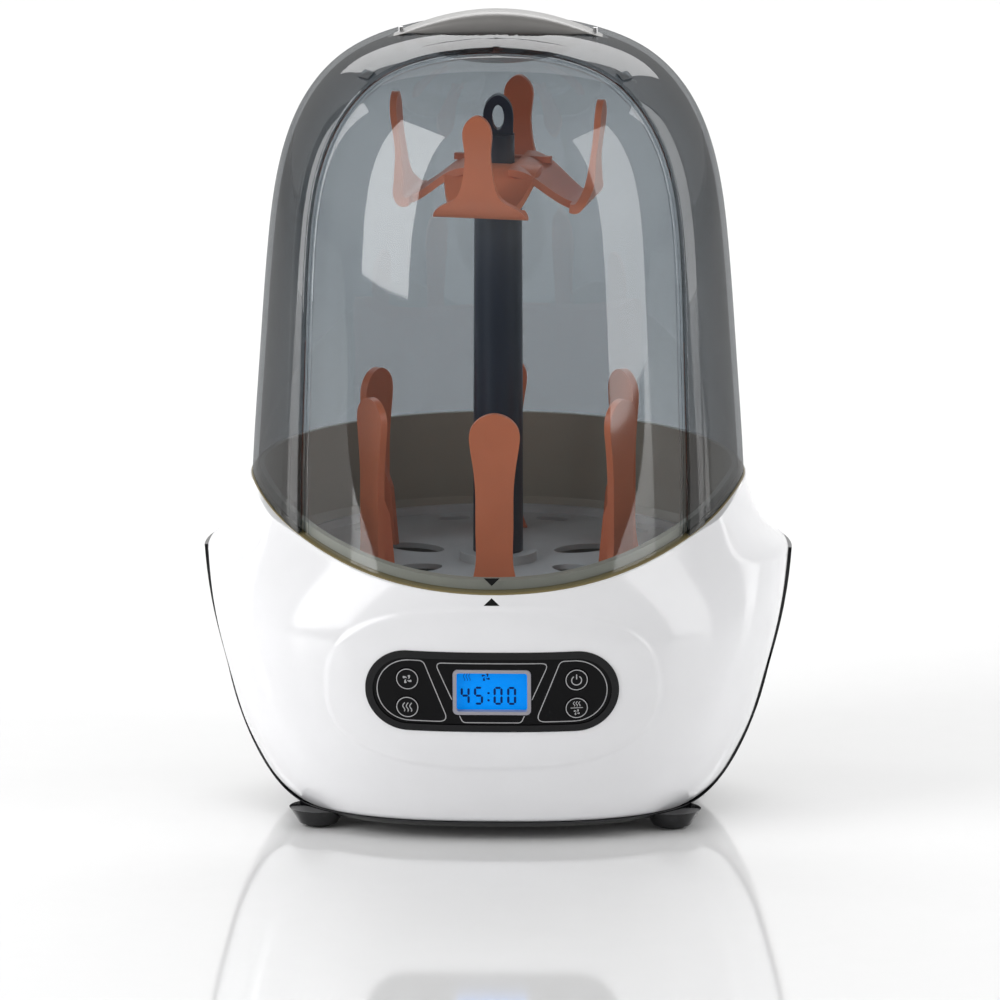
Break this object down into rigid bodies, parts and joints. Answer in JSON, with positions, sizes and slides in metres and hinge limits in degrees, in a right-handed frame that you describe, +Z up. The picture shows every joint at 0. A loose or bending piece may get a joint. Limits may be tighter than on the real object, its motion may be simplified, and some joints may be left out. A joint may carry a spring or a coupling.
{
  "type": "bottle sterilizer",
  "caption": "Countertop electric steam sterilizer and dryer: bowl-shaped base with display panel, smoked lift-off dome, bottle rack and accessory rack.",
  "frame": {"origin": "on the table under the middle of the base, at the foot bottoms", "axes": "+Z up through the rack post, front with the control panel towards -Y, +X to the right seen from the front"},
  "size_m": [0.288, 0.2439, 0.3955],
  "materials": {
    "white_shell": "high gloss white ABS",
    "dark_shell": "high gloss black ABS",
    "basin": "moulded off-white polypropylene",
    "seal": "thin olive-brown silicone",
    "stainless": "circular brushed stainless steel",
    "silicone": "translucent silicone",
    "element": "heat-tinted sheath",
    "zinc_steel": "zinc plated",
    "thermostat": "drawn aluminium cap on phenolic body",
    "fuse_sleeve": "woven glass sleeve",
    "inner_grey": "moulded grey PP",
    "impeller": "moulded nylon",
    "shaft_steel": "ground steel",
    "ptc_fins": "corrugated fins",
    "filter_media": "pleated non-woven media",
    "circuit_board": "green solder mask",
    "screw_steel": "nickel plated",
    "transformer": "varnished laminations and yellow tape",
    "relay": "blue relay case",
    "capacitor": "sleeved aluminium can",
    "terminals": "nylon",
    "panel_black": "high gloss black",
    "panel_gloss": "high gloss black with fine light line print",
    "lcd_silver": "silver paint",
    "lcd_blue": "backlit liquid crystal panel",
    "key_black": "high gloss black with a light ring",
    "switch_black": "moulded",
    "smoked_clear": "smoked transparent copolyester",
    "window_clear": "lighter smoked transparent copolyester",
    "clip_clear": "smoked transparent",
    "handle_grey": "satin grey",
    "tray_grey": "moulded light grey polypropylene",
    "coral": "moulded coral orange polypropylene",
    "navy": "moulded navy blue polypropylene",
    "rubber": "matt black rubber",
    "gland_rubber": "matt black rubber"
  },
  "bodies": {
    "base": {"front_housing": "white_shell", "rear_housing": "dark_shell", "chamber_basin": "basin", "rim_seal": "seal", "heater_plate": "stainless", "plate_gasket": "silicone", "heating_element": "element", "heater_bracket": "zinc_steel", "thermostat": "thermostat", "thermal_fuse": "fuse_sleeve", "blower_housing": "inner_grey", "fan_motor": "zinc_steel", "ptc_heater": "ptc_fins", "air_duct": "inner_grey", "air_outlet": "basin", "filter_tray": "inner_grey", "power_board": "circuit_board", "board_screws": "screw_steel", "transformer": "transformer", "relay": "relay", "capacitors": "capacitor", "terminal_block": "terminals", "panel_bezel": "panel_black", "panel_overlay": "panel_gloss", "lcd_frame": "lcd_silver", "lcd_module": "lcd_blue", "control_board": "circuit_board", "tact_switches": "switch_black", "rubber_feet": "rubber", "housing_screws": "screw_steel", "cord_gland": "gland_rubber"},
    "fan_rotor": {"fan_impeller": "impeller", "motor_shaft": "shaft_steel"},
    "filter_door": {"filter_cover": "dark_shell", "air_filter": "filter_media"},
    "cover": {"dome_shell": "smoked_clear", "window_panel": "window_clear", "window_clips": "clip_clear", "dome_handle": "handle_grey", "handle_screws": "screw_steel"},
    "bottle_rack": {"rack_tray": "tray_grey", "bottle_prongs": "coral", "rack_post": "navy"},
    "top_rack": {"accessory_rack": "coral"},
    "fan_key": {"key_fan": "key_black"},
    "steam_key": {"key_steam": "key_black"},
    "power_key": {"key_power": "key_black"},
    "auto_key": {"key_auto": "key_black"}
  },
  "joints": [
    {"name": "cover_lift", "type": "slide", "parent": "base", "child": "cover", "axis": [0, 0, 1], "range_m": [0, 0.37]},
    {"name": "bottle_rack_lift", "type": "slide", "parent": "base", "child": "bottle_rack", "axis": [0, 0, 1], "range_m": [0, 0.0703]},
    {"name": "top_rack_lift", "type": "slide", "parent": "bottle_rack", "child": "top_rack", "axis": [0, 0, 1], "range_m": [0, 0.0666]},
    {"name": "fan_spin", "type": "hinge", "parent": "base", "child": "fan_rotor", "pos_m": [-0.05, 0.056, 0.045], "axis": [0, 0, 1], "continuous": true},
    {"name": "filter_pull", "type": "slide", "parent": "base", "child": "filter_door", "axis": [0, 1, 0], "range_m": [0, 0.04]},
    {"name": "fan_key_press", "type": "slide", "parent": "base", "child": "fan_key", "axis": [0, 0.9839, 0.1788], "range_m": [0, 0.0007], "stiffness_N_per_m": 500, "springref_m": -0.0006},
    {"name": "steam_key_press", "type": "slide", "parent": "base", "child": "steam_key", "axis": [0, 0.9839, 0.1788], "range_m": [0, 0.0007], "stiffness_N_per_m": 500, "springref_m": -0.0006},
    {"name": "power_key_press", "type": "slide", "parent": "base", "child": "power_key", "axis": [0, 0.9839, 0.1788], "range_m": [0, 0.0007], "stiffness_N_per_m": 500, "springref_m": -0.0006},
    {"name": "auto_key_press", "type": "slide", "parent": "base", "child": "auto_key", "axis": [0, 0.9839, 0.1788], "range_m": [0, 0.0007], "stiffness_N_per_m": 500, "springref_m": -0.0006}
  ],
  "couplings": [
    {"joint": "bottle_rack_lift", "follows": "cover_lift", "ratio": 0.19},
    {"joint": "top_rack_lift", "follows": "cover_lift", "ratio": 0.18}
  ]
}
